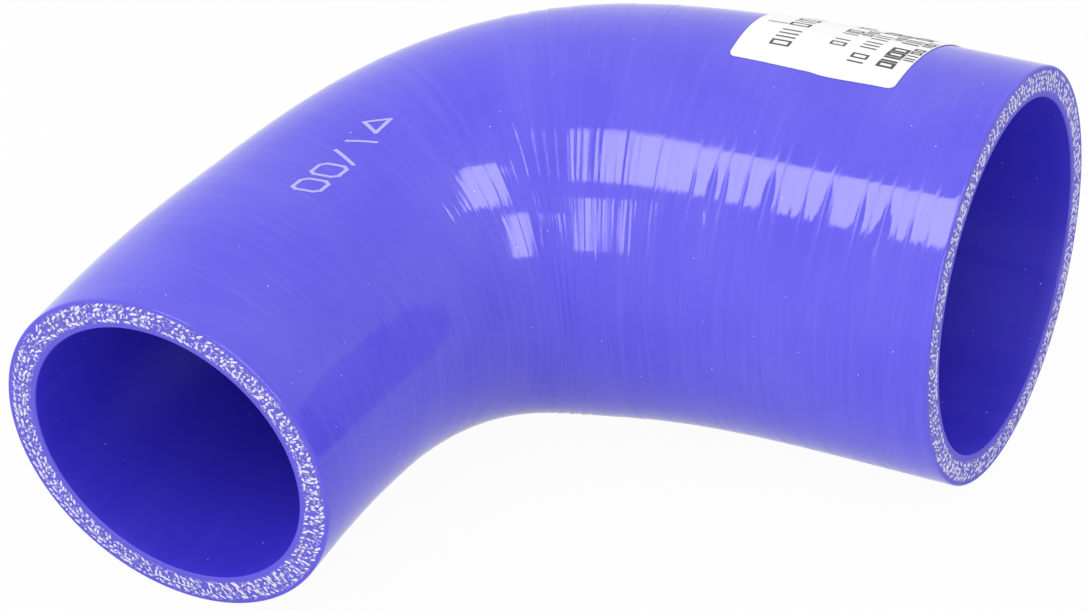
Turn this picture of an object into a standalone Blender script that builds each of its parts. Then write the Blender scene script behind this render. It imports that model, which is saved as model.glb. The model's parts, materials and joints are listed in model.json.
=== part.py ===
"""A reinforced silicone elbow hose: a bend that also reduces from a large bore to a small one.

The hose is one moulded piece of even wall, with both ends cut square. A paper label is wrapped round
the top of the large leg. The part lies on a level surface: +X runs out of the large end along its leg,
the small leg points to -Y and drops until its rim touches the surface, and +Z is up.
Every length is in metres and every angle in degrees.
"""

import math

import bmesh
import bpy
import numpy as np

# Bores and wall
LARGE_BORE = 0.063
SMALL_BORE = 0.051
WALL = 0.0055

# Centreline, measured along it from the large cut face round to the small one
HOSE_LENGTH = 0.1782
BEND_ANGLE = 90.0
STRAIGHT_LARGE_END = 0.0100
LEAD_IN = 0.0400  # length over which the large end passes into a gentle curve
STRAIGHT_SMALL_END = 0.0050
LEAD_OUT = 0.0100  # length over which the gentle curve passes into the small end
TIGHTEST_PLACE = 0.0937  # middle of the tight bend
TIGHTEST_SPAN = 0.0260  # half the length of the tight bend
TIGHTEST_SHARE = 2.90  # curvature that the tight bend adds, against the gentle curve

# Where the bore reduces, measured along the centreline from the small cut face
REDUCER_START = 0.0382
REDUCER_LENGTH = 0.0726

# Paper label on the large leg
LABEL_WIDTH = 0.030  # along the leg
LABEL_LENGTH = 0.050  # round the leg
LABEL_CORNER = 0.0012
LABEL_THICKNESS = 0.0002
LABEL_CLEARANCE = 0.0003
LABEL_FROM_END = 0.019  # from the large cut face to the label's near side
LABEL_LOWER_EDGE = 7.0  # from the top of the leg towards the small leg's side

# How finely the curved walls are divided
HOSE_RINGS = 42
HOSE_SIDES = 60
LABEL_COLUMNS_IN_CORNER = 4
LABEL_COLUMNS_BETWEEN = 4
LABEL_ROWS = 24
STEPS_PER_RING = 12

# Sizes that follow from these
LARGE_RADIUS = LARGE_BORE / 2 + WALL
SMALL_RADIUS = SMALL_BORE / 2 + WALL


def clear_scene():
    """Remove whatever the file held."""
    for old in list(bpy.data.objects):
        bpy.data.objects.remove(old, do_unlink=True)


def linear_colour(hex_code):
    """Turn an sRGB hex colour into the linear RGBA that a material takes."""
    channels = [int(hex_code[i:i + 2], 16) / 255 for i in (1, 3, 5)]
    linear = [c / 12.92 if c <= 0.04045 else ((c + 0.055) / 1.055) ** 2.4 for c in channels]
    return (*linear, 1.0)


def make_material(name, hex_code, roughness):
    """Make a plain, non-metallic surface."""
    material = bpy.data.materials.new(name)
    material.use_nodes = True
    shader = material.node_tree.nodes["Principled BSDF"]
    shader.inputs["Base Color"].default_value = linear_colour(hex_code)
    shader.inputs["Roughness"].default_value = roughness
    shader.inputs["Metallic"].default_value = 0.0
    material.diffuse_color = linear_colour(hex_code)
    return material


def ease(t):
    """Rise from 0 to 1 with a level start and a level finish."""
    t = min(max(t, 0.0), 1.0)
    return t * t * (3 - 2 * t)


def sharpness(distance):
    """How sharply the centreline turns at a distance from the large cut face, against the gentle curve."""
    lead_in = ease((distance - STRAIGHT_LARGE_END) / LEAD_IN)
    lead_out = ease((HOSE_LENGTH - STRAIGHT_SMALL_END - distance) / LEAD_OUT)
    tight = TIGHTEST_SHARE * math.exp(-((distance - TIGHTEST_PLACE) / TIGHTEST_SPAN) ** 2)
    return lead_in * lead_out * (1 + tight)


def outer_radius(distance):
    """Outside radius of the hose at a distance from the large cut face."""
    reducer_end = HOSE_LENGTH - REDUCER_START
    reduced = ease((distance - reducer_end + REDUCER_LENGTH) / REDUCER_LENGTH)
    return LARGE_RADIUS + (SMALL_RADIUS - LARGE_RADIUS) * reduced


def walk_centreline(distances):
    """Follow the centreline in its own plane, and give (x, y, heading) at each distance.

    It starts at the large cut face at the origin, heads along -X and turns towards -Y.
    """
    fine = np.linspace(0.0, HOSE_LENGTH, HOSE_RINGS * STEPS_PER_RING + 1)
    middles = (fine[1:] + fine[:-1]) / 2
    step = fine[1] - fine[0]
    turned = np.concatenate([[0.0], np.cumsum([sharpness(d) for d in middles])])
    turned *= math.radians(BEND_ANGLE) / turned[-1]
    mid_turn = (turned[1:] + turned[:-1]) / 2
    x = np.concatenate([[0.0], np.cumsum(-np.cos(mid_turn) * step)])
    y = np.concatenate([[0.0], np.cumsum(-np.sin(mid_turn) * step)])
    return [(np.interp(d, fine, x), np.interp(d, fine, y), np.interp(d, fine, turned)) for d in distances]


def point_on_hose(distance, angle, lift=0.0):
    """Place a point over the outer surface, at an angle from the top towards the inside of the bend."""
    x, y, heading = walk_centreline([distance])[0]
    reach = outer_radius(distance) + lift
    sideways = reach * math.sin(angle)
    return (x + math.sin(heading) * sideways, y - math.cos(heading) * sideways, reach * math.cos(angle))


def finish_sheet(sheet, collection, material):
    """Give a sheet its material and smooth shading, and keep its open edges sharp once it has a wall."""
    sheet.data.materials.clear()
    sheet.data.materials.append(material)
    sheet.data.shade_smooth()
    shape = bmesh.new()
    shape.from_mesh(sheet.data)
    for edge in shape.edges:
        edge.smooth = not edge.is_boundary
    shape.to_mesh(sheet.data)
    shape.free()
    collection.objects.link(sheet)


def make_hose(collection, material):
    """Sweep the reducing outer surface along the centreline, and thicken it inwards to the bore."""
    distances = np.linspace(0.0, HOSE_LENGTH, HOSE_RINGS)
    path = bpy.data.curves.new("hose_path", "CURVE")
    path.dimensions = "3D"
    path.bevel_depth = LARGE_RADIUS
    path.bevel_resolution = (HOSE_SIDES - 4) // 2
    path.use_fill_caps = False
    spline = path.splines.new("POLY")
    spline.points.add(HOSE_RINGS - 1)
    for point, distance, (x, y, _) in zip(spline.points, distances, walk_centreline(distances)):
        point.co = (x, y, 0.0, 1.0)
        point.radius = outer_radius(distance) / LARGE_RADIUS

    swept = bpy.data.objects.new("hose_sweep", path)
    hose = bpy.data.objects.new("elbow_hose", bpy.data.meshes.new_from_object(swept))
    bpy.data.objects.remove(swept)
    bpy.data.curves.remove(path)
    hose.data.name = "elbow_hose"

    wall = hose.modifiers.new("wall", "SOLIDIFY")
    wall.thickness = WALL
    wall.offset = -1.0
    wall.use_even_offset = True
    finish_sheet(hose, collection, material)
    return hose


def label_columns():
    """Give the label's columns across its width, as (place, half the column's length round the leg).

    The columns are close together in the rounded corners, where each one is shortened by the corner.
    """
    half_width = LABEL_WIDTH / 2
    half_length = LABEL_LENGTH / 2
    columns = []
    for i in range(LABEL_COLUMNS_IN_CORNER):
        turn = math.radians(90) * i / LABEL_COLUMNS_IN_CORNER
        place = -half_width + LABEL_CORNER * (1 - math.cos(turn))
        columns.append((place, half_length - LABEL_CORNER * (1 - math.sin(turn))))
    straight = half_width - LABEL_CORNER
    for i in range(LABEL_COLUMNS_BETWEEN + 1):
        columns.append((-straight + 2 * straight * i / LABEL_COLUMNS_BETWEEN, half_length))
    for place, length in reversed(columns[:LABEL_COLUMNS_IN_CORNER]):
        columns.append((-place, length))
    return columns


def make_label(collection, material):
    """Wrap a rounded sheet over the large leg, a little clear of it."""
    columns = label_columns()
    sheet = bmesh.new()
    bmesh.ops.create_grid(sheet, x_segments=len(columns) - 1, y_segments=LABEL_ROWS, size=1.0)
    for vertex in sheet.verts:
        place, half_length = columns[round((vertex.co.x + 1) / 2 * (len(columns) - 1))]
        along = LABEL_FROM_END + LABEL_WIDTH / 2 + place
        round_leg = LABEL_LENGTH / 2 + vertex.co.y * half_length
        angle = math.radians(LABEL_LOWER_EDGE) - round_leg / LARGE_RADIUS
        vertex.co = point_on_hose(along, angle, LABEL_CLEARANCE)
    bmesh.ops.recalc_face_normals(sheet, faces=sheet.faces)
    if sum(face.normal.z for face in sheet.faces) < 0:
        bmesh.ops.reverse_faces(sheet, faces=sheet.faces)
    mesh = bpy.data.meshes.new("paper_label")
    sheet.to_mesh(mesh)
    sheet.free()

    label = bpy.data.objects.new("paper_label", mesh)
    paper = label.modifiers.new("paper", "SOLIDIFY")
    paper.thickness = LABEL_THICKNESS
    paper.offset = 1.0
    finish_sheet(label, collection, material)
    return label


def resting_tilt():
    """Work out how far the small leg drops about the large leg's axis before its rim touches down."""
    distances = np.linspace(0.0, HOSE_LENGTH, HOSE_RINGS)
    aside = np.array([-y for _, y, _ in walk_centreline(distances)])
    radius = np.array([outer_radius(d) for d in distances])
    carrying = aside <= aside[-1] / 2
    rim_reach = math.hypot(aside[-1], radius[-1])
    rim_angle = math.atan2(radius[-1], aside[-1])
    tilt = 0.0
    for _ in range(HOSE_RINGS):
        axis_height = (aside * math.sin(tilt) + radius * math.cos(tilt))[carrying].max()
        tilt = math.asin(axis_height / rim_reach) - rim_angle
    return tilt


def lay_down(pieces, collection):
    """Tilt the pieces to their resting place, with the middle of the part's underside at the origin."""
    rest = bpy.data.objects.new("resting_place", None)
    rest.empty_display_size = LARGE_BORE
    collection.objects.link(rest)
    rest.rotation_euler = (resting_tilt(), 0.0, 0.0)
    for piece in pieces:
        piece.parent = rest
    bpy.context.view_layer.update()

    graph = bpy.context.evaluated_depsgraph_get()
    corners = []
    for piece in pieces:
        solid = piece.evaluated_get(graph)
        corners += [solid.matrix_world @ vertex.co for vertex in solid.data.vertices]
    corners = np.array(corners)
    low = corners.min(axis=0)
    high = corners.max(axis=0)
    rest.location = (-(low[0] + high[0]) / 2, -(low[1] + high[1]) / 2, -low[2])
    bpy.context.view_layer.update()


def main():
    clear_scene()
    collection = bpy.data.collections.new("silicone_elbow_hose")
    bpy.context.scene.collection.children.link(collection)
    silicone = make_material("blue_silicone", "#6257F0", 0.32)
    paper = make_material("white_paper", "#F4F4F2", 0.75)
    pieces = [make_hose(collection, silicone), make_label(collection, paper)]
    lay_down(pieces, collection)


if __name__ == "__main__":
    main()
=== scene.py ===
"""Looks of a reinforced silicone elbow hose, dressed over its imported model.

A wrapped blue silicone body with fabric ends in both cut faces, a paper label, a small printed mark and a
little dust, on a white studio floor. Sizes are in metres and angles in degrees, in the model's own frame.
"""

import functools
import json
import math

import bmesh
import bpy
import numpy as np
from mathutils import Matrix, Vector


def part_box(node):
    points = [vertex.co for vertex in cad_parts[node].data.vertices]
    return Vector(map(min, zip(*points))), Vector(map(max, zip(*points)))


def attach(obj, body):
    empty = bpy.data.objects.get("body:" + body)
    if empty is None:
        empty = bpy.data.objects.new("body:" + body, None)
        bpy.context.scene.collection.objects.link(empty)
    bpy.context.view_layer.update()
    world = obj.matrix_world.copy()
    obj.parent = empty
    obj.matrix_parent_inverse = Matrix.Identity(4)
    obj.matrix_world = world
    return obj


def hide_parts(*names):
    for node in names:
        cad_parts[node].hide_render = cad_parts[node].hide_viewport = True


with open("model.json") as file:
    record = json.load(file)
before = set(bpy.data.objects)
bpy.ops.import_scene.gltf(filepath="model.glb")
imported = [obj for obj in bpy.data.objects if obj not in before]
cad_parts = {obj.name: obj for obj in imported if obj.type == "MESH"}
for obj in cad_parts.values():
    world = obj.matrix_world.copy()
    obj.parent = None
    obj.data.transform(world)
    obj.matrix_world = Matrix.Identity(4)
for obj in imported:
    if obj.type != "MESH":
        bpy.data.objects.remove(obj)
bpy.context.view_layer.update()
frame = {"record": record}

bl_info = {
    "name": "Silicone Elbow Hose",
    "version": (1, 0, 0),
    "blender": (4, 5, 0),
    "location": "View3D > Sidebar > Elbow Hose",
    "description": "Builds a reinforced silicone elbow hose with its label, printed mark and studio",
    "category": "Add Mesh",
}

SILICONE_IOR = 1.41
PRINT_FILM = 0.00002
MARK_FILM = 0.00003
HOSE_MIDDLE = Vector((0.0, 0.0, 0.04))


def linear_colour(hex_code):
    """Turn an sRGB hex colour into linear RGBA."""
    channels = [int(hex_code[i:i + 2], 16) / 255 for i in (1, 3, 5)]
    linear = [c / 12.92 if c <= 0.04045 else ((c + 0.055) / 1.055) ** 2.4 for c in channels]
    return (*linear, 1.0)


def length_property(name, description, default):
    """A length in metres."""
    return bpy.props.FloatProperty(
        name=name, description=description, default=default, min=0.0, precision=4, unit="LENGTH")


def angle_property(name, description, degrees):
    """An angle, given in degrees and kept in radians."""
    return bpy.props.FloatProperty(
        name=name, description=description, default=math.radians(degrees), subtype="ANGLE")


def colour_property(name, description, hex_code):
    """A colour, given as sRGB hex and kept linear."""
    return bpy.props.FloatVectorProperty(
        name=name, description=description, default=linear_colour(hex_code), size=4,
        min=0.0, max=1.0, subtype="COLOR")


class HoseShape(bpy.types.PropertyGroup):
    """Sizes of the hose body."""
    large_bore: length_property("Large Bore", "Inside diameter of the large end", 0.063)
    small_bore: length_property("Small Bore", "Inside diameter of the small end", 0.051)
    wall: length_property("Wall", "Thickness of the wall", 0.0055)
    length: length_property("Length", "Length of the centreline", 0.1782)
    bend_angle: angle_property("Bend", "Angle that the hose turns through", 90)
    straight_large_end: length_property("Straight Large End", "Straight length at the large end", 0.010)
    lead_in: length_property("Lead In", "Length over which the large end passes into a gentle curve", 0.040)
    straight_small_end: length_property("Straight Small End", "Straight length at the small end", 0.005)
    lead_out: length_property("Lead Out", "Length over which the curve passes into the small end", 0.010)
    tightest_place: length_property("Tightest Place", "From the large face to the tight bend", 0.0937)
    tightest_span: length_property("Tightest Span", "Half the length of the tight bend", 0.026)
    tightest_share: bpy.props.FloatProperty(
        name="Tightest Share", description="Curvature added by the tight bend, against the gentle curve",
        default=2.9, min=0.0)
    reducer_start: length_property("Reducer Start", "From the small cut face to the reducer", 0.0382)
    reducer_length: length_property("Reducer Length", "Length over which the bore reduces", 0.0726)
    edge_round: length_property("Edge Round", "Rounding of the cut edges", 0.0003)


class WrapMarks(bpy.types.PropertyGroup):
    """Marks that the curing tape leaves round the cover."""
    strip_width: length_property("Strip Width", "Mean width of a strip of the tape", 0.0036)
    strip_tilt: angle_property("Strip Tilt", "Usual lean of a strip out of the wall", 0.25)
    strip_crown: angle_property("Strip Crown", "Most that a strip's sides fall away", 0.6)
    edge_step: length_property("Edge Step", "Depth of the line at a strip's edge", 0.000005)
    crease_slope: angle_property("Crease Slope", "Slope of a crease's sides", 9)
    edge_sway: length_property("Edge Sway", "How far a strip's edge wanders round the hose", 0.0005)
    line_reach: length_property("Line Reach", "Half the width of the line at a strip's edge", 0.00026)
    random_crease: length_property("Random Crease", "Most that a random strip's edge opens", 0.0008)
    dull_crease: length_property("Dull Crease", "Opening whose bottom is all dull", 0.0006)
    ripple: length_property("Ripple", "Usual height of the fine ripples between the lines", 0.000009)
    ripple_step: length_property("Ripple Step", "From one fine ripple to the next", 0.0004)
    seed: bpy.props.IntProperty(name="Seed", description="Fixes the pattern of the strips", default=11)


class LabelSizes(bpy.types.PropertyGroup):
    """Sizes of the paper label."""
    width: length_property("Width", "Size along the leg", 0.0305)
    length: length_property("Length", "Size round the leg", 0.050)
    corner: length_property("Corner", "Radius of the corners", 0.0012)
    thickness: length_property("Thickness", "Thickness of the paper", 0.00015)
    clearance: length_property("Clearance", "Room between the hose and the paper", 0.00005)
    bulge: length_property("Bulge", "How far the lower edge sags by its middle", 0.0007)
    from_end: length_property("From End", "From the large cut face to the label", 0.0189)
    lower_edge: angle_property("Lower Edge", "Angle of the lower edge from the top of the leg", 6.8)
    askew: angle_property("Askew", "How far the label is turned on the leg", 2.3)


class FabricEnds(bpy.types.PropertyGroup):
    """Ends of the reinforcing yarn in the cut faces."""
    plies: bpy.props.IntProperty(name="Plies", description="Turns of fabric in the wall", default=4, min=1)
    cover: length_property("Cover", "Plain silicone outside the fabric", 0.0008)
    liner: length_property("Liner", "Plain silicone inside the fabric", 0.0011)
    spacing: length_property("Spacing", "Distance from one yarn end to the next", 0.00115)
    size: length_property("Size", "Width of a yarn end", 0.0006)
    seed: bpy.props.IntProperty(name="Seed", description="Fixes the scatter of the yarn ends", default=5)


class HoseColours(bpy.types.PropertyGroup):
    """Colours of the hose, its label and its marks."""
    cover: colour_property("Cover", "Wrapped outer cover", "#6057E6")
    line_shade_and_draw_tone: colour_property("Cover Deep", "Cover in the lines between strips", "#4A40DC")
    # painted shade: this darker colour is laid into the lines between strips so that they read dark; the
    # bore's draw lines use it as a plain tone
    cover_pale: colour_property("Cover Pale", "Scuffed lines on the cover", "#8C86F6")
    bore: colour_property("Bore", "Smooth liner inside the hose", "#4438DE")
    # painted shade: a darker liner colour painted deeper inside the hose
    bore_painted_shade: colour_property("Bore Deep", "Liner deep inside the hose", "#2A20A0")
    cut: colour_property("Cut", "Sawn silicone of the end faces", "#6158DC")
    cut_gap: colour_property("Cut Gap", "Shaded gaps between the yarn ends", "#6E6CA4")
    yarn: colour_property("Yarn", "Polyester yarn ends", "#E9E6F6")
    paper: colour_property("Paper", "Label paper", "#FDFDFD")
    print_black: colour_property("Label Print", "Print on the label", "#48484E")
    mark_ink: colour_property("Mark Ink", "Ink of the printed mark on the cover", "#B9B3FA")
    dust: colour_property("Dust", "Dust on the cover", "#E2E2F2")


class StudioSetup(bpy.types.PropertyGroup):
    """Light and floor."""
    floor_size: length_property("Floor Size", "Side of the floor", 12.0)
    window_distance: length_property("Window Distance", "From the hose to the window lights", 1.2)
    window_level: bpy.props.FloatProperty(
        name="Window Level", description="Brightness of the window lights against white", default=9.2,
        min=0.0)
    room_level: bpy.props.FloatProperty(
        name="Room Level", description="Brightness of the white room against white", default=0.92, min=0.0)


SETTINGS = {
    "hose_shape": HoseShape,
    "wrap_marks": WrapMarks,
    "label_sizes": LabelSizes,
    "fabric_ends": FabricEnds,
    "hose_colours": HoseColours,
    "studio_setup": StudioSetup,
}


def ease(t):
    """Rise from 0 to 1 with a level start and a level finish."""
    t = np.clip(t, 0.0, 1.0)
    return t * t * (3 - 2 * t)


def facing_matrix(right, up, position):
    """Matrix whose X is right and Y is up, at a position."""
    right, up = Vector(right).normalized(), Vector(up).normalized()
    out = right.cross(up).normalized()
    matrix = Matrix((right, up, out)).transposed().to_4x4()
    matrix.translation = position
    return matrix


class HosePath:
    """The hose's centreline and outer radius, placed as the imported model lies."""

    STEPS = 3000

    def __init__(self, shape):
        self.shape = shape
        self.large_radius = shape.large_bore / 2 + shape.wall
        self.small_radius = shape.small_bore / 2 + shape.wall
        self.length = shape.length
        steps = np.linspace(0.0, self.length, self.STEPS + 1)
        middles = (steps[1:] + steps[:-1]) / 2
        step = steps[1]
        lead_in = ease((middles - shape.straight_large_end) / shape.lead_in)
        lead_out = ease((self.length - shape.straight_small_end - middles) / shape.lead_out)
        tight = shape.tightest_share * np.exp(-((middles - shape.tightest_place) / shape.tightest_span) ** 2)
        turned = np.concatenate([[0.0], np.cumsum(lead_in * lead_out * (1 + tight))])
        turned *= shape.bend_angle / turned[-1]
        mid_turn = (turned[1:] + turned[:-1]) / 2
        self.steps = steps
        self.turned = turned
        self.x = np.concatenate([[0.0], np.cumsum(-np.cos(mid_turn) * step)])
        self.y = np.concatenate([[0.0], np.cumsum(-np.sin(mid_turn) * step)])
        small_end = next(m for m in frame["record"]["mounts"] if m["name"] == "small_end_face")
        self.tilt = math.atan2(-small_end["axis"][2], -small_end["axis"][1])
        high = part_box("elbow_hose")[1]
        self.place = np.array([high[0], high[1] - self.large_radius, high[2] - self.large_radius])

    def outer_radius(self, distance):
        """Outside radius at a distance from the large cut face."""
        shape = self.shape
        reducer_end = self.length - shape.reducer_start
        reduced = ease((distance - reducer_end + shape.reducer_length) / shape.reducer_length)
        return self.large_radius + (self.small_radius - self.large_radius) * reduced

    def lay(self, points):
        """Turn points of the hose's own frame into the model's frame."""
        cos, sin = math.cos(self.tilt), math.sin(self.tilt)
        x, y, z = points[..., 0], points[..., 1], points[..., 2]
        return np.stack([x, y * cos - z * sin, y * sin + z * cos], axis=-1) + self.place

    def point(self, distance, angle, radius):
        """Point at a distance along, an angle from the top towards the inside of the bend, and a radius."""
        distance, angle, radius = np.broadcast_arrays(distance, angle, radius)
        heading = np.interp(distance, self.steps, self.turned)
        aside = radius * np.sin(angle)
        x = np.interp(distance, self.steps, self.x) + np.sin(heading) * aside
        y = np.interp(distance, self.steps, self.y) - np.cos(heading) * aside
        return self.lay(np.stack([x, y, radius * np.cos(angle)], axis=-1))

    def end_matrix(self, distance):
        """Frame of a cut face: X and Y in the face, Z out of it."""
        centre = self.point(distance, 0.0, 0.0)
        up = self.point(distance, 0.0, 1.0) - centre
        aside = self.point(distance, math.pi / 2, 1.0) - centre
        if np.cross(up, aside) @ (centre - self.point(self.length / 2, 0.0, 0.0)) < 0:
            up, aside = aside, up
        return facing_matrix(up, aside, centre)


def settings(name):
    """A group of settings of the scene."""
    return getattr(bpy.context.scene, name)


def link_piece(name, mesh, slot, *nodes):
    """Put a finished mesh into the scene as a piece of the hose that rides on its body."""
    piece = bpy.data.objects.new(name, mesh)
    bpy.context.scene.collection.objects.link(piece)
    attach(piece, "root")
    if nodes:
        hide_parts(*nodes)
    return piece


def add_node(tree, kind, links=None, inputs=None, **values):
    """Add a node with its settings, unlinked input values, and links from other nodes' outputs."""
    node = tree.nodes.new(kind)
    for key, value in values.items():
        setattr(node, key, value)
    for key, value in (inputs or {}).items():
        node.inputs[key].default_value = value
    for key, output in (links or {}).items():
        tree.links.new(output, node.inputs[key])
    return node


def maths(tree, operation, first, second=None, third=None):
    """Add a math node on numbers or other nodes' outputs, and give its output."""
    node = add_node(tree, "ShaderNodeMath", operation=operation)
    for socket, value in zip(node.inputs, (first, second, third)):
        if isinstance(value, (int, float)):
            socket.default_value = value
        elif value is not None:
            tree.links.new(value, socket)
    return node.outputs["Value"]


def ramp(tree, value, low, high, to_low=0.0, to_high=1.0, kind="LINEAR"):
    """Spread a value from one range over another, and give the output."""
    node = add_node(tree, "ShaderNodeMapRange", {"Value": value},
                    {"From Min": low, "From Max": high, "To Min": to_low, "To Max": to_high},
                    interpolation_type=kind)
    return node.outputs["Result"]


def blend(tree, share, first, second):
    """Mix a share of the second colour into the first, a colour or another node's output."""
    node = add_node(tree, "ShaderNodeMix", {"Factor": share}, data_type="RGBA")
    if isinstance(first, bpy.types.NodeSocket):
        tree.links.new(first, node.inputs["A"])
    else:
        node.inputs["A"].default_value = first
    node.inputs["B"].default_value = second
    return node.outputs["Result"]


def attribute(tree, name, output="Fac"):
    """Read one of the mesh's own attributes."""
    return add_node(tree, "ShaderNodeAttribute", attribute_name=name).outputs[output]


def noise(tree, place, detail, roughness=0.5, scale=1.0, stretch=None):
    """Add noise, by one scale or stretched by three, and give its output."""
    if stretch:
        place = add_node(tree, "ShaderNodeMapping", {"Vector": place}, {"Scale": stretch}).outputs["Vector"]
    node = add_node(tree, "ShaderNodeTexNoise", {"Vector": place},
                    {"Scale": scale, "Detail": detail, "Roughness": roughness})
    return node.outputs["Fac"]


def raise_bump(tree, shader, height, strength, distance):
    """Let a pattern stand out of the surface by a distance."""
    bump = add_node(tree, "ShaderNodeBump", {"Height": height}, {"Strength": strength, "Distance": distance})
    tree.links.new(bump.outputs["Normal"], shader.inputs["Normal"])


def new_material(name, ior=1.5):
    """Give a material, its tree and its shader."""
    material = bpy.data.materials.new(name)
    material.use_nodes = True
    tree = material.node_tree
    shader = tree.nodes["Principled BSDF"]
    shader.inputs["IOR"].default_value = ior
    return material, tree, shader


def cover_material(colours):
    """Silicone rubber cured under wound nylon tape: glossy, with fine lines and scuffs round the hose.

    The tape presses the cover smooth in strips, so windows mirror in it with ragged, stepped edges.
    """
    material, tree, shader = new_material("wrapped_silicone_cover", SILICONE_IOR)
    straight = attribute(tree, "straight", "Vector")
    strip = attribute(tree, "strip_edge")
    # lines 0.3 mm apart that run about 50 mm round the hose, the palest of them rubbed
    fine_lines = noise(tree, straight, 2.0, 0.6, stretch=(20.0, 20.0, 3300.0))
    rubbed = ramp(tree, fine_lines, 0.62, 0.74, 0.0, 0.14)
    # smears about 1.4 mm wide and 22 mm long
    scuffs = noise(tree, straight, 3.0, 0.55, stretch=(45.0, 45.0, 700.0))
    smeared = ramp(tree, scuffs, 0.5, 0.8, 0.0, 0.16)
    # clouds about 17 mm across
    clouded = ramp(tree, noise(tree, straight, 3.0, scale=60.0), 0.35, 0.7, 0.0, 0.16)
    colour = blend(tree, clouded, colours.cover, colours.cover_pale)
    # painted shade: the lines between strips are darkened by a quarter towards the line shade colour
    colour = blend(tree, maths(tree, "MULTIPLY", strip, 0.25), colour, colours.line_shade_and_draw_tone)
    colour = blend(tree, maths(tree, "ADD", rubbed, smeared), colour, colours.cover_pale)
    tree.links.new(colour, shader.inputs["Base Color"])
    # the lines between strips are dull
    smooth = ramp(tree, scuffs, 0.3, 0.8, 0.05, 0.13)
    tree.links.new(maths(tree, "MULTIPLY_ADD", strip, 0.34, smooth), shader.inputs["Roughness"])
    raise_bump(tree, shader, fine_lines, 0.2, 0.00002)
    return material


def bore_material(colours, length):
    """Silicone liner moulded against a polished mandrel: smooth and glossy, with faint draw lines."""
    material, tree, shader = new_material("smooth_silicone_liner", SILICONE_IOR)
    straight = attribute(tree, "straight", "Vector")
    # draw lines 3 mm apart and 40 mm long
    draw = noise(tree, straight, 3.0, stretch=(300.0, 300.0, 25.0))
    colour = blend(tree, ramp(tree, draw, 0.3, 0.75, 0.0, 0.25), colours.bore, colours.line_shade_and_draw_tone)
    # painted shade: the liner darkens deeper inside the hose, from 10 to 60 mm in from its ends
    place = add_node(tree, "ShaderNodeSeparateXYZ", {"Vector": straight}).outputs["Z"]
    inside = maths(tree, "MINIMUM", place, maths(tree, "SUBTRACT", length, place))
    colour = blend(tree, ramp(tree, inside, 0.01, 0.06, 0.0, 0.75), colour, colours.bore_painted_shade)
    tree.links.new(colour, shader.inputs["Base Color"])
    tree.links.new(ramp(tree, draw, 0.3, 0.8, 0.36, 0.5), shader.inputs["Roughness"])
    return material


def cut_material(colours, fabric, wall):
    """Sawn silicone and fabric: matt, mottled by the cut yarns, with a plain cover and liner beside them."""
    material, tree, shader = new_material("sawn_silicone_and_fabric", SILICONE_IOR)
    straight = attribute(tree, "straight", "Vector")
    depth = attribute(tree, "depth")
    # the fabric fades in from 0.3 mm outside its band to 0.1 mm inside it
    liner, cover = fabric.liner, wall - fabric.cover
    past_liner = ramp(tree, depth, liner - 0.0003, liner + 0.0001, kind="SMOOTHSTEP")
    below_cover = ramp(tree, depth, cover + 0.0003, cover - 0.0001, kind="SMOOTHSTEP")
    band = maths(tree, "MULTIPLY", past_liner, below_cover)
    # tufts of cut filaments about 0.6 mm across
    grain = add_node(tree, "ShaderNodeTexVoronoi", {"Vector": straight}, {"Scale": 1700.0, "Randomness": 1.0})
    tufts = maths(tree, "MULTIPLY", band, ramp(tree, grain.outputs["Distance"], 0.15, 0.5, 1.0, 0.0))
    # shaded gaps about 1.1 mm across
    gaps = maths(tree, "MULTIPLY", band, ramp(tree, noise(tree, straight, 2.0, scale=900.0), 0.42, 0.62))
    colour = blend(tree, maths(tree, "MULTIPLY", gaps, 0.5), colours.cut, colours.cut_gap)
    colour = blend(tree, maths(tree, "MULTIPLY", tufts, 0.6), colour, colours.yarn)
    tree.links.new(colour, shader.inputs["Base Color"])
    raise_bump(tree, shader, tufts, 0.5, 0.00008)
    shader.inputs["Roughness"].default_value = 0.6
    return material


def plain_material(name, colour, roughness, grain_scale=0.0, grain_depth=0.0):
    """A matt surface, with an even grain where it has a scale."""
    material, tree, shader = new_material(name)
    shader.inputs["Base Color"].default_value = colour
    shader.inputs["Roughness"].default_value = roughness
    if grain_scale:
        place = add_node(tree, "ShaderNodeTexCoord").outputs["Object"]
        raise_bump(tree, shader, noise(tree, place, 3.0, scale=grain_scale), 0.4, grain_depth)
    return material


def hump(angles, place, spread):
    """Rise to 1 at one angle round the hose and fall away on both sides, in degrees."""
    return np.exp(-((angles - math.radians(place)) / math.radians(spread)) ** 2)


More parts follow.
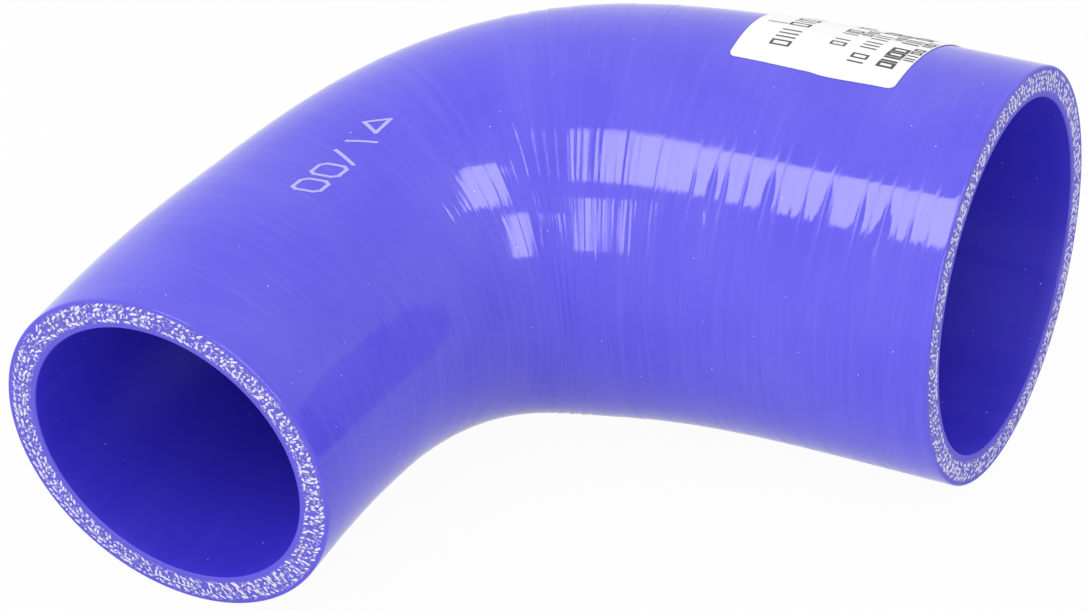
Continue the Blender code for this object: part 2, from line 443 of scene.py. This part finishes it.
def strip_relief(distances, angles, length, marks, strips):
    """Height of the tape strips over the wall, and how near each point is to a strip's edge.

    The strips go round the hose side by side, from the known ones at the large end to random ones. Each
    leans a little out of the wall and is slightly rounded. Their edges are thin lines, and in places they
    part into creases that open and close round the hose.
    """
    rng = np.random.default_rng(marks.seed)
    known = np.array(strips) * (0.001, 1.0, 0.001, math.radians(1.0))
    start = known[-1, 0]
    count = round((length - start) / marks.strip_width) - 1
    widths = rng.uniform(0.35, 1.65, count + 1)
    places = start + np.cumsum(widths)[:-1] / widths.sum() * (length - start)
    place = np.concatenate([known[:, 0], places])
    line = np.concatenate([known[:, 1], 0.6 * rng.uniform(0.0, 1.0, count) ** 2])
    crease = np.concatenate([known[:, 2], marks.random_crease * rng.uniform(0.0, 1.0, count) ** 3])
    lean = np.concatenate([known[:, 3], np.zeros(count)])
    total = len(place)

    # the edges wander round the hose, and are at their known places 41 degrees from its top
    sway = rng.uniform(0.0, 2 * math.pi, total)
    shift = np.sin(angles[None, :] + sway[:, None]) - np.sin(math.radians(41) + sway[:, None])
    edges = place[:, None] + marks.edge_sway * shift * (place > 0)[:, None]
    edges = np.concatenate([edges, np.full((1, len(angles)), length)])
    # the creases and the ripples are on the side where the tape was pulled tight, where the creases part
    # most at 47 degrees and close at 34 and 59
    opening = 14 * angles[None, :] + math.radians(159) + rng.normal(0.0, 0.25, total)[:, None]
    creases = crease[:, None] * (0.5 + 0.5 * np.sin(opening)) * hump(angles, 48, 13)
    rippled = 0.1 + hump(angles, 50, 6)
    turn = rng.uniform(0.0, 2 * math.pi, (total, 2))
    tilts = np.tan(lean)[:, None] + math.tan(marks.strip_tilt) * (
        rng.normal(0.0, 1.0, total)[:, None] * np.sin(angles[None, :] + turn[:, 0, None])
        + rng.normal(0.0, 0.6, total)[:, None] * np.sin(3 * angles[None, :] + turn[:, 1, None]))
    crowns = rng.uniform(0.2, 1.0, total) * math.tan(marks.strip_crown)
    slope = math.tan(marks.crease_slope)
    # the ripples run 3 mm aslant on their way round
    slant = 0.003
    ripple_places = np.arange(-slant - 0.001, length + slant + 0.001, marks.ripple_step)
    ripple_heights = rng.normal(0.0, 1.0, len(ripple_places))

    relief = np.zeros((len(distances), len(angles)))
    nearness = np.zeros_like(relief)
    for column, angle in enumerate(angles):
        edge = edges[:, column]
        strip = np.clip(np.searchsorted(edge, distances, side="right") - 1, 0, total - 1)
        after = np.minimum(strip + 1, total - 1)
        width = edge[strip + 1] - edge[strip]
        across = (distances - edge[strip]) / width
        height = tilts[strip, column] * (across - 0.5) * width
        height += crowns[strip] * width / 4 * (1 - (2 * across - 1) ** 2)
        near = np.zeros(len(distances))
        for side, gap in ((strip, across * width), (after, (1 - across) * width)):
            parted = creases[side, column]
            strength = np.maximum(line[side], np.minimum(parted / marks.dull_crease, 1.0))
            near = np.maximum(near, strength * np.clip(1 - gap / marks.line_reach, 0.0, 1.0))
            # a crease takes up no more than nine tenths of its strip
            height -= slope * np.clip(np.minimum(parted, 0.9 * width) - gap, 0.0, None)
        height -= marks.edge_step * near
        ripple = np.interp(distances + slant * math.sin(angle), ripple_places, ripple_heights)
        relief[:, column] = height + marks.ripple * ripple * rippled[column]
        nearness[:, column] = near
    return relief, nearness


class HOSE_OT_body(bpy.types.Operator):
    """Build the hose body with its wrapped cover, cut faces and bore"""
    bl_idname = "elbow_hose.body"
    bl_label = "Hose Body"

    SIDES = 112
    OUTER_ROWS = 780
    BORE_ROWS = 60
    FACE_ROWS = 6
    EDGE_ROWS = 3

    # Strips of tape from the large face on: place of the strip's edge in mm, strength of the line along it,
    # most that the edge opens into a crease in mm, and lean of the strip that follows in degrees
    STRIPS = (
        (0, 0, 0, 0), (4.0, 0.5, 0.2, 0), (7.1, 0.6, 0.4, -0.1), (9.3, 0.5, 0.2, 0), (11.7, 0.7, 1.5, 0),
        (14.0, 0.6, 0.2, 0), (16.1, 0.7, 1.0, 0), (21.4, 0.5, 0.3, 0), (22.4, 0.8, 1.5, 0),
        (26.3, 0.9, 0.3, 0), (31.3, 0.9, 0.3, 0), (33.3, 0.8, 1.4, 0), (37.9, 0.8, 0.5, 0),
        (42.0, 0.8, 0.8, 0), (44.5, 0.8, 1.1, 0), (48.5, 0.8, 0.5, 0), (54.0, 0.3, 0.2, 0),
        (56.4, 0.5, 0.2, -0.1), (61.0, 0.2, 0, -0.5), (62.4, 0, 0, -0.2), (64.0, 0.1, 0, -1.1),
        (69.9, 0, 0, 0.5), (70.6, 0, 0, -0.4), (71.1, 0, 0, 0.5), (73.6, 0, 0, -0.3), (74.2, 0, 0, 0.5),
        (75.4, 0, 0, -0.3), (75.9, 0, 0, 0.5), (77.3, 0, 0, -0.3), (77.8, 0, 0, 1.2), (78.6, 0.1, 0, 2.8),
        (82.0, 0, 0, 2.8), (85.2, 0, 0, 2.4), (88.6, 0, 0, 1.0), (92.8, 0.1, 0, -0.3), (97.0, 0.5, 0, 0),
        (101.4, 0.6, 0.3, 0), (105.0, 0.7, 0.4, 0), (108.8, 0.4, 0.2, 0), (113.2, 0.7, 0.3, -0.1),
        (117.6, 0.6, 0.2, 0.4),
    )

    def execute(self, context):
        shape, marks, colours = settings("hose_shape"), settings("wrap_marks"), settings("hose_colours")
        path = HosePath(shape)
        angles = np.arange(self.SIDES) / self.SIDES * 2 * math.pi
        turn = np.linspace(0, math.pi / 2, self.EDGE_ROWS + 2)[1:-1]
        edge = shape.edge_round
        outer = np.linspace(edge, path.length - edge, self.OUTER_ROWS)
        bore = np.linspace(path.length - edge, edge, self.BORE_ROWS)

        # rows round the hose: distance, radius, and kind of surface (0 cover, 1 cut face, 2 bore)
        rows = [(d, path.outer_radius(d), 0) for d in outer]
        for end, sign in ((path.length, 1), (0.0, -1)):
            outside = path.outer_radius(end)
            inside = outside - shape.wall
            ring = [(end - sign * edge * (1 - math.sin(t)), outside - edge * (1 - math.cos(t)), 0)
                    for t in turn]
            ring += [(end, r, 1) for r in np.linspace(outside - edge, inside + edge, self.FACE_ROWS + 1)]
            ring += [(end - sign * edge * (1 - math.cos(t)), inside + edge * (1 - math.sin(t)), 1)
                     for t in turn]
            if end:
                rows += ring + [(d, path.outer_radius(d) - shape.wall, 2) for d in bore]
            else:
                rows += ring[::-1]
        distance, radius, kinds = (np.array(column) for column in zip(*rows))
        distance = distance[:, None]
        radius = np.repeat(radius[:, None], self.SIDES, axis=1)
        relief, nearness = strip_relief(outer, angles, path.length, marks, self.STRIPS)
        # the marks fade out over the last millimetre at both ends
        fade = np.clip(np.minimum(outer, path.length - outer) / 0.001, 0, 1)[:, None]
        radius[:self.OUTER_ROWS] += relief * fade
        closeness = np.zeros_like(radius)
        closeness[:self.OUTER_ROWS] = nearness * fade

        points = path.point(distance, angles[None, :], radius)
        corners = np.arange(radius.size).reshape(radius.shape)
        beside = np.roll(corners, -1, axis=1)
        quads = np.stack(
            [corners, beside, np.roll(beside, -1, axis=0), np.roll(corners, -1, axis=0)], axis=-1)
        mesh = bpy.data.meshes.new("silicone_hose")
        mesh.from_pydata(points.reshape(-1, 3).tolist(), [], quads.reshape(-1, 4).tolist())
        # the faces between a cut face's rows and another kind's belong to the other kind
        lower, upper = np.minimum(kinds, np.roll(kinds, -1)), np.maximum(kinds, np.roll(kinds, -1))
        face_kinds = np.repeat(np.where((lower == 1) & (upper == 2), 2, lower), self.SIDES)
        for material in (cover_material(colours), cut_material(colours, settings("fabric_ends"), shape.wall),
                         bore_material(colours, path.length)):
            mesh.materials.append(material)
        mesh.polygons.foreach_set("material_index", face_kinds.astype(np.int32))
        mesh.shade_smooth()

        straight = np.stack([radius * np.cos(angles), radius * np.sin(angles),
                             np.broadcast_to(distance, radius.shape)], axis=-1)
        inner = path.outer_radius(distance) - shape.wall
        for name, kind, key, values in (("straight", "FLOAT_VECTOR", "vector", straight),
                                        ("depth", "FLOAT", "value", radius - inner),
                                        ("strip_edge", "FLOAT", "value", closeness)):
            mesh.attributes.new(name, kind, "POINT").data.foreach_set(key, values.ravel())
        shell = bmesh.new()
        shell.from_mesh(mesh)
        bmesh.ops.recalc_face_normals(shell, faces=shell.faces)
        shell.to_mesh(mesh)
        shell.free()
        link_piece("silicone_hose", mesh, "blue_silicone", "elbow_hose")
        return {"FINISHED"}


def new_group(name, inputs):
    """Start a geometry node group with its named inputs, and give it and those inputs' outputs."""
    tree = bpy.data.node_groups.new(name, "GeometryNodeTree")
    tree.interface.new_socket("Geometry", in_out="OUTPUT", socket_type="NodeSocketGeometry")
    for key, kind in inputs.items():
        tree.interface.new_socket(key, in_out="INPUT", socket_type="NodeSocket" + kind)
    return tree, add_node(tree, "NodeGroupInput").outputs


def end_group(tree, geometry, material):
    """Turn instances into one mesh with a material, as what the group gives."""
    real = add_node(tree, "GeometryNodeRealizeInstances", {"Geometry": geometry})
    dyed = add_node(tree, "GeometryNodeSetMaterial", {
        "Geometry": real.outputs["Geometry"], "Material": material})
    add_node(tree, "NodeGroupOutput", {"Geometry": dyed.outputs["Geometry"]})


def yarn_tree():
    """Geometry nodes that set rings of cut yarn ends into a face."""
    tree, given = new_group("yarn_ends", {
        "Inner Radius": "Float", "Ply Spacing": "Float", "Plies": "Int", "Ends in a Ply": "Int",
        "Yarn Width": "Float", "Seed": "Int", "Centre": "Vector", "Turn": "Rotation", "Material": "Material"})
    sums = functools.partial(maths, tree)

    def chance(low, high, offset):
        """A random number for each end, between two bounds."""
        seed = sums("ADD", given["Seed"], offset)
        node = add_node(tree, "FunctionNodeRandomValue", {"Seed": seed}, {2: low, 3: high}, data_type="FLOAT")
        return node.outputs[1]

    total = sums("MULTIPLY", given["Plies"], given["Ends in a Ply"])
    index = add_node(tree, "GeometryNodeInputIndex").outputs["Index"]
    ply = sums("FLOOR", sums("DIVIDE", index, given["Ends in a Ply"]))
    place = sums("MODULO", index, given["Ends in a Ply"])
    step = sums("DIVIDE", 2 * math.pi, given["Ends in a Ply"])
    # each end strays along its ply, and each ply is turned 2.4 radians on the one inside it
    shaken = sums("ADD", place, chance(-0.42, 0.42, 1))
    angle = sums("ADD", sums("MULTIPLY", shaken, step), sums("MULTIPLY", ply, 2.4))
    # each ply wanders in and out three times round the face
    wander = sums("MULTIPLY", sums("SINE", sums("MULTIPLY_ADD", angle, 3.0, ply)), 0.16)
    rise = sums("ADD", sums("ADD", ply, chance(0.32, 0.68, 2)), wander)
    radius = sums("MULTIPLY_ADD", rise, given["Ply Spacing"], given["Inner Radius"])
    spot = add_node(tree, "ShaderNodeCombineXYZ", {
        "X": sums("MULTIPLY", sums("COSINE", angle), radius),
        "Y": sums("MULTIPLY", sums("SINE", angle), radius)})
    points = add_node(tree, "GeometryNodePoints", {"Count": total, "Position": spot.outputs["Vector"]})
    # 16% of the ends are torn out
    kept = add_node(tree, "GeometryNodeDeleteGeometry", {
        "Geometry": points.outputs["Points"],
        "Selection": sums("LESS_THAN", chance(0.0, 1.0, 3), 0.16)}, domain="POINT")
    # the ends lie along their ply, and the longest of them are few
    grain = add_node(tree, "GeometryNodeMeshIcoSphere", inputs={"Radius": 0.5, "Subdivisions": 1})
    spin = add_node(tree, "ShaderNodeCombineXYZ", {"Z": sums("ADD", angle, chance(-0.2, 0.2, 4))})
    long = sums("MULTIPLY_ADD", sums("POWER", chance(0.0, 1.0, 5), 3.0), 1.8, chance(0.8, 1.7, 6))
    size = add_node(tree, "ShaderNodeCombineXYZ", {
        "X": sums("MULTIPLY", given["Yarn Width"], chance(0.5, 1.0, 7)),
        "Y": sums("MULTIPLY", given["Yarn Width"], long),
        "Z": sums("MULTIPLY", given["Yarn Width"], 0.5)})
    ends = add_node(tree, "GeometryNodeInstanceOnPoints", {
        "Points": kept.outputs["Geometry"], "Instance": grain.outputs["Mesh"],
        "Rotation": spin.outputs["Vector"], "Scale": size.outputs["Vector"]})
    laid = add_node(tree, "GeometryNodeTransform", {
        "Geometry": ends.outputs["Instances"], "Translation": given["Centre"], "Rotation": given["Turn"]})
    end_group(tree, laid.outputs["Geometry"], given["Material"])
    return tree


def grow(name, tree, values):
    """Run a geometry node tree once with named inputs, and give the plain mesh that it makes."""
    seedling = bpy.data.objects.new(name, bpy.data.meshes.new(name))
    bpy.context.scene.collection.objects.link(seedling)
    modifier = seedling.modifiers.new(name, "NODES")
    modifier.node_group = tree
    sockets = {item.name: item.identifier for item in tree.interface.items_tree if item.in_out == "INPUT"}
    for key, value in values.items():
        modifier[sockets[key]] = value
    graph = bpy.context.evaluated_depsgraph_get()
    mesh = bpy.data.meshes.new_from_object(seedling.evaluated_get(graph), depsgraph=graph)
    mesh.name = name
    seedling.modifiers.clear()
    bpy.data.objects.remove(seedling)
    if not len(mesh.polygons):
        raise RuntimeError(name + " came out empty")
    return mesh


class HOSE_OT_yarn_ends(bpy.types.Operator):
    """Set the cut ends of the reinforcing yarn into both cut faces"""
    bl_idname = "elbow_hose.yarn_ends"
    bl_label = "Yarn Ends"

    def execute(self, context):
        shape, fabric, colours = settings("hose_shape"), settings("fabric_ends"), settings("hose_colours")
        path = HosePath(shape)
        # Cut polyester yarn: dull white tufts, a little translucent with silicone
        yarn = plain_material("cut_polyester_yarn", colours.yarn, 0.7)
        tree = yarn_tree()
        band = shape.wall - fabric.cover - fabric.liner
        for name, distance, bore in (("large_end_yarns", 0.0, shape.large_bore),
                                     ("small_end_yarns", path.length, shape.small_bore)):
            inner = bore / 2 + fabric.liner
            matrix = path.end_matrix(distance)
            mesh = grow(name, tree, {
                "Inner Radius": inner, "Ply Spacing": band / fabric.plies, "Plies": fabric.plies,
                "Ends in a Ply": round(2 * math.pi * (inner + band / 2) / fabric.spacing),
                "Yarn Width": fabric.size, "Seed": fabric.seed + round(bore * 1000),
                "Centre": matrix.translation, "Turn": matrix.to_euler(), "Material": yarn})
            link_piece(name, mesh, "blue_silicone")
        return {"FINISHED"}


def label_point(path, label, along, around, lift):
    """Point over the leg, from places on the flat label: along the leg, and back from the lower edge."""
    turned_along = along * math.cos(label.askew) - around * math.sin(label.askew)
    turned_around = along * math.sin(label.askew) + around * math.cos(label.askew)
    angle = label.lower_edge - turned_around / path.large_radius
    return path.point(label.from_end + turned_along, angle, path.large_radius + label.clearance + lift)


def ink_mesh(name, strokes, place):
    """Mesh of printed strokes. Each is (half its width, its points), in mm, and place lays a point down."""
    points, faces = [], []
    for half, line in strokes:
        for (ax, ay), (bx, by) in zip(line[:-1], line[1:]):
            run = math.hypot(bx - ax, by - ay)
            tx, ty = (bx - ax) / run, (by - ay) / run
            cuts = np.linspace(-half * 0.8, run + half * 0.8, math.ceil(run / 0.8) + 1)
            for start, end in zip(cuts[:-1], cuts[1:]):
                faces.append(tuple(range(len(points), len(points) + 4)))
                points += [tuple(place(ax + tx * d - ty * side, ay + ty * d + tx * side))
                           for d, side in ((start, -half), (end, -half), (end, half), (start, half))]
    mesh = bpy.data.meshes.new(name)
    mesh.from_pydata(points, [], faces)
    film = bmesh.new()
    film.from_mesh(mesh)
    film.normal_update()
    bmesh.ops.reverse_faces(film, faces=[face for face in film.faces if face.normal.z < 0])
    film.to_mesh(mesh)
    film.free()
    return mesh


class HOSE_OT_label(bpy.types.Operator):
    """Wrap the paper label round the large leg and print its rows of plain blocks"""
    bl_idname = "elbow_hose.label"
    bl_label = "Paper Label"

    COLUMNS = 40
    ROWS = 60

    def execute(self, context):
        shape, label, colours = settings("hose_shape"), settings("label_sizes"), settings("hose_colours")
        path = HosePath(shape)
        sheet = bmesh.new()
        bmesh.ops.create_grid(sheet, x_segments=self.COLUMNS, y_segments=self.ROWS, size=1.0)
        for vertex in sheet.verts:
            # columns crowd towards the sides, so that the corners come out round
            across = math.sin(vertex.co.x * math.pi / 2)
            along = (across + 1) / 2 * label.width
            in_corner = max(0.0, label.corner - min(along, label.width - along))
            short = label.corner - math.sqrt(max(label.corner ** 2 - in_corner ** 2, 0.0))
            around = label.length / 2 + vertex.co.y * (label.length / 2 - short)
            # the lower edge sags up to 0.42 of its width, steps back by half and then fades
            share = along / label.width
            sag = float(ease(share / 0.42)) * (1 - 0.45 * float(ease((share - 0.43) / 0.07)))
            kink = label.bulge * sag * (1 - 0.9 * float(ease((share - 0.5) / 0.5))) * (1 - vertex.co.y) / 2
            vertex.co = label_point(path, label, along, around - kink, 0.0)
        bmesh.ops.remove_doubles(sheet, verts=sheet.verts, dist=1e-7)
        bmesh.ops.recalc_face_normals(sheet, faces=sheet.faces)
        if sum(face.normal.z for face in sheet.faces) < 0:
            bmesh.ops.reverse_faces(sheet, faces=sheet.faces)
        mesh = bpy.data.meshes.new("label_paper")
        sheet.to_mesh(mesh)
        sheet.free()
        # Coated label paper: bleached fibres under a thin chalk coat, so matt white with a faint tooth
        mesh.materials.append(plain_material("coated_label_paper", colours.paper, 0.55, 1800.0, 0.00001))
        mesh.shade_smooth()
        paper = link_piece("label_paper", mesh, "white_paper", "paper_label")
        thick = paper.modifiers.new("paper", "SOLIDIFY")
        thick.thickness = label.thickness
        thick.offset = 1.0

        # Rows of print, all in mm: (place along the leg, height, start, half a stroke, marks). The marks
        # are plain: o is a frame, i is a bar, n is a pair of bars, and a gap is left for each space.
        rows = (
            (21.8, 3.1, 5.4, 0.24, "oin oio n"), (25.5, 3.0, 14.0, 0.2, "i"),
            (13.2, 2.4, 9.2, 0.2, "oi no io"), (13.4, 2.0, 26.2, 0.2, "noio n"),
            (7.9, 2.6, 4.2, 0.22, "io niin on"), (11.1, 1.5, 16.0, 0.16, "onoi"),
            (2.7, 2.6, 5.3, 0.3, "onoo in oion"), (5.95, 1.3, 17.0, 0.16, "noion"),
            (0.4, 1.6, 8.8, 0.2, "nioo noi"),
        )
        strokes = []
        for along, height, start, half, marks in rows:
            wide = 0.5 * height
            for number, mark in enumerate(marks):
                low = start + number * (wide + 0.75)
                high = low + wide
                middle, top = (low + high) / 2, along + height
                lines = {"o": [[(along, low), (top, low), (top, high), (along, high), (along, low)]],
                         "i": [[(along, middle), (top, middle)]],
                         "n": [[(along, low), (top, low)], [(along, high), (top, high)]],
                         " ": []}
                strokes += [(half, line) for line in lines[mark]]

        def on_paper(x, y):
            return label_point(path, label, x / 1000, y / 1000, label.thickness + PRINT_FILM)

        ink = ink_mesh("label_print", strokes, on_paper)
        # Thermal transfer print: a dull carbon film on the paper
        ink.materials.append(plain_material("carbon_label_print", colours.print_black, 0.6))
        link_piece("label_print", ink, "white_paper")
        return {"FINISHED"}


class HOSE_OT_mark(bpy.types.Operator):
    """Print the plain mark of loops and strokes on the bend"""
    bl_idname = "elbow_hose.mark"
    bl_label = "Printed Mark"

    def execute(self, context):
        shape, colours = settings("hose_shape"), settings("hose_colours")
        path = HosePath(shape)
        # strokes in mm: along the mark, and up from its foot
        loop = [(0.7, 0.0), (3.0, 0.0), (3.7, 0.8), (3.7, 3.4), (3.0, 4.2), (0.7, 4.2), (0.0, 3.4),
                (0.0, 0.8), (0.7, 0.0)]
        strokes = [
            loop,
            [(x + 5.3, y + 0.1) for x, y in loop],
            [(10.1, 0.1), (13.4, 4.8)],
            [(17.8, 1.0), (16.6, 5.0)],
            [(20.4, 2.7), (25.2, 3.4), (22.9, 6.2), (20.4, 2.7)],
        ]

        def on_cover(x, y):
            # the mark begins 137.4 mm along the hose and 7.9 mm off its top, and leans back along it
            distance = 0.1374 - (0.952 * x - 0.544 * y) / 1000
            radius = float(path.outer_radius(distance))
            return path.point(distance, (0.0079 - y / 1000) / radius, radius + MARK_FILM)

        mesh = ink_mesh("printed_mark", [(0.3, line) for line in strokes], on_cover)
        # Silicone ink: a thin pale film cured onto the cover, worn a little
        mesh.materials.append(plain_material("silicone_mark_ink", colours.mark_ink, 0.35))
        link_piece("printed_mark", mesh, "blue_silicone")
        return {"FINISHED"}


def dust_tree():
    """Geometry nodes that scatter flecks over a surface."""
    tree, given = new_group("dust", {
        "Surface": "Object", "Density": "Float", "Fleck Size": "Float", "Seed": "Int",
        "Material": "Material"})
    surface = add_node(tree, "GeometryNodeObjectInfo", {"Object": given["Surface"]})
    scatter = add_node(tree, "GeometryNodeDistributePointsOnFaces", {
        "Mesh": surface.outputs["Geometry"], "Density": given["Density"], "Seed": given["Seed"]},
        distribute_method="RANDOM")
    # flecks from short to long, and flat
    fleck = add_node(tree, "GeometryNodeMeshIcoSphere", inputs={"Radius": 0.5, "Subdivisions": 1})
    size = add_node(tree, "FunctionNodeRandomValue", {"Seed": given["Seed"]},
                    {0: (0.3, 0.3, 0.2), 1: (1.3, 1.0, 0.5)}, data_type="FLOAT_VECTOR")
    scaled = add_node(tree, "ShaderNodeVectorMath", {0: size.outputs[0]}, operation="SCALE")
    tree.links.new(given["Fleck Size"], scaled.inputs["Scale"])
    flecks = add_node(tree, "GeometryNodeInstanceOnPoints", {
        "Points": scatter.outputs["Points"], "Instance": fleck.outputs["Mesh"],
        "Rotation": scatter.outputs["Rotation"], "Scale": scaled.outputs["Vector"]})
    end_group(tree, flecks.outputs["Instances"], given["Material"])
    return tree


class HOSE_OT_dust(bpy.types.Operator):
    """Scatter a little dust over the hose"""
    bl_idname = "elbow_hose.dust"
    bl_label = "Dust"

    def execute(self, context):
        # Workshop dust and fabric lint: pale matt flecks, 5500 of them to a square metre
        lint = plain_material("pale_lint", settings("hose_colours").dust, 0.9)
        hose = bpy.data.objects.get("silicone_hose")
        if hose is None:
            raise RuntimeError("the hose body comes before its dust")
        mesh = grow("dust", dust_tree(), {
            "Surface": hose, "Density": 5500.0, "Fleck Size": 0.00026, "Seed": 3, "Material": lint})
        link_piece("dust", mesh, "blue_silicone")
        return {"FINISHED"}


def floor_material():
    """Seamless white studio paper: reads white to the camera and keeps a faint shadow."""
    material, tree, shader = new_material("white_studio_floor")
    shader.inputs["Base Color"].default_value = linear_colour("#E4E4E4")
    shader.inputs["Roughness"].default_value = 0.9
    shader.inputs["Specular IOR Level"].default_value = 0.0
    # it glows in plain white by 0.96 to the camera and 0.68 in mirrors
    seen = add_node(tree, "ShaderNodeLightPath").outputs
    mirrored = maths(tree, "MULTIPLY", seen["Is Glossy Ray"], 0.68)
    glow = maths(tree, "MULTIPLY_ADD", seen["Is Camera Ray"], 0.96, mirrored)
    white = add_node(tree, "ShaderNodeEmission", inputs={"Color": (1, 1, 1, 1), "Strength": 1.0})
    mix = add_node(tree, "ShaderNodeMixShader", {
        0: glow, 1: shader.outputs["BSDF"], 2: white.outputs["Emission"]})
    tree.links.new(mix.outputs["Shader"], tree.nodes["Material Output"].inputs["Surface"])
    return material


def facing_hose(azimuth, height, turn, reach, aside=0.0, above=0.0):
    """Matrix of something that faces the hose, in degrees round from the front, over the floor and turned.

    It stands off by its reach, and is moved aside and above by shares of that.
    """
    around, lift, turn = math.radians(azimuth), math.radians(height), math.radians(turn)
    out = Vector((math.sin(around) * math.cos(lift), -math.cos(around) * math.cos(lift), math.sin(lift)))
    level = Vector((math.cos(around), math.sin(around), 0.0))
    steep = out.cross(level)
    across = level * math.cos(turn) + steep * math.sin(turn)
    up = steep * math.cos(turn) - level * math.sin(turn)
    return facing_matrix(across, up, HOSE_MIDDLE + (out + across * aside + up * above) * reach)


def add_light(name, width, height, power, colour, matrix):
    """Add a rectangular light, and give its object."""
    light = bpy.data.lights.new(name, "AREA")
    light.shape = "RECTANGLE"
    light.size, light.size_y = width, height
    light.energy = power
    light.color = colour
    lamp = bpy.data.objects.new(name, light)
    bpy.context.scene.collection.objects.link(lamp)
    lamp.matrix_world = matrix
    return lamp


class HOSE_OT_stage(bpy.types.Operator):
    """Set up the white floor, the studio lights and the camera"""
    bl_idname = "elbow_hose.stage"
    bl_label = "Stage"

    # The panes of the window, each facing the hose. The angle round from the front, the height over the
    # floor and the turn are in degrees. The sides from the pane's middle, left, right, down and up, are
    # shares of the window's distance.
    PANES = (
        (-20.0, 54.0, 32.0, -0.20, 0.03, -0.212, 0.235),
        (-20.0, 54.0, 32.0, 0.03, 0.09, -0.222, 0.262),
        (-20.0, 54.0, 32.0, 0.09, 0.140, -0.222, 0.295),
        (55.0, 55.0, 20.0, -0.22, 0.19, -0.21, 0.225),
        (2.0, 22.0, 6.0, -0.03, 0.085, -0.24, 0.265),
        (35.0, 18.0, 10.0, -0.22, 0.275, -0.186, 0.268),
    )
    # the light of the window is a little warm
    DAYLIGHT = (1.0, 0.94, 0.9)

    def execute(self, context):
        studio = settings("studio_setup")
        scene = context.scene
        half = studio.floor_size / 2
        floor_mesh = bpy.data.meshes.new("studio_floor")
        floor_mesh.from_pydata([(-half, -half, 0), (half, -half, 0), (half, half, 0), (-half, half, 0)], [],
                               [(0, 1, 2, 3)])
        floor_mesh.materials.append(floor_material())
        floor = bpy.data.objects.new("studio_floor", floor_mesh)
        scene.collection.objects.link(floor)

        reach = studio.window_distance
        for number, (azimuth, height, turn, left, right, low, high) in enumerate(self.PANES):
            width, tall = (right - left) * reach, (high - low) * reach
            pane = add_light(f"window_pane_{number + 1}", width, tall,
                             studio.window_level * math.pi * width * tall, self.DAYLIGHT,
                             facing_hose(azimuth, height, turn, reach, (left + right) / 2, (low + high) / 2))
            pane.visible_diffuse = False
        # a soft box 1.6 m wide lights the shades, unseen in mirrors
        box = add_light("soft_box", 1.6, 1.6, 9.0, (1.0, 1.0, 1.0), facing_hose(-25.0, 32.0, 0.0, 1.7))
        box.visible_glossy = False

        world = bpy.data.worlds.new("white_room")
        scene.world = world
        world.use_nodes = True
        tree = world.node_tree
        background = tree.nodes["Background"]
        background.inputs["Color"].default_value = (1.0, 1.0, 1.0, 1.0)
        seen = add_node(tree, "ShaderNodeLightPath").outputs
        direct = maths(tree, "MAXIMUM", seen["Is Camera Ray"], seen["Is Glossy Ray"])
        tree.links.new(ramp(tree, direct, 0.0, 1.0, studio.room_level, 1.0), background.inputs["Strength"])

        lens = bpy.data.cameras.new("camera")
        lens.lens = 113.22
        lens.sensor_width = 36.0
        lens.sensor_fit = "HORIZONTAL"
        lens.clip_start = 0.01
        camera = bpy.data.objects.new("camera", lens)
        scene.collection.objects.link(camera)
        # the camera's right, its up and its place
        camera.matrix_world = facing_matrix(
            (0.88782, 0.45804, -0.04455), (-0.21788, 0.50362, 0.83600), (0.23950, -0.43881, 0.35831))
        scene.camera = camera
        scene.view_settings.view_transform = "Standard"
        return {"FINISHED"}


OPERATORS = (HOSE_OT_body, HOSE_OT_yarn_ends, HOSE_OT_label, HOSE_OT_mark, HOSE_OT_dust, HOSE_OT_stage)


class HOSE_PT_panel(bpy.types.Panel):
    """Lists the pieces of the elbow hose"""
    bl_label = "Elbow Hose"
    bl_idname = "HOSE_PT_panel"
    bl_space_type = "VIEW_3D"
    bl_region_type = "UI"
    bl_category = "Elbow Hose"

    def draw(self, context):
        for operator in OPERATORS:
            self.layout.operator(operator.bl_idname)
        for name in SETTINGS:
            group = getattr(context.scene, name)
            box = self.layout.box()
            for key in group.bl_rna.properties.keys():
                if key not in {"rna_type", "name"}:
                    box.prop(group, key)


def register():
    for name, group in SETTINGS.items():
        bpy.utils.register_class(group)
        setattr(bpy.types.Scene, name, bpy.props.PointerProperty(type=group))
    for operator in OPERATORS:
        bpy.utils.register_class(operator)
    bpy.utils.register_class(HOSE_PT_panel)


def unregister():
    bpy.utils.unregister_class(HOSE_PT_panel)
    for operator in reversed(OPERATORS):
        bpy.utils.unregister_class(operator)
    for name, group in reversed(list(SETTINGS.items())):
        delattr(bpy.types.Scene, name)
        bpy.utils.unregister_class(group)


def main():
    register()
    bpy.ops.elbow_hose.body()
    bpy.ops.elbow_hose.yarn_ends()
    bpy.ops.elbow_hose.label()
    bpy.ops.elbow_hose.mark()
    bpy.ops.elbow_hose.dust()
    bpy.ops.elbow_hose.stage()


if __name__ == "__main__":
    main()
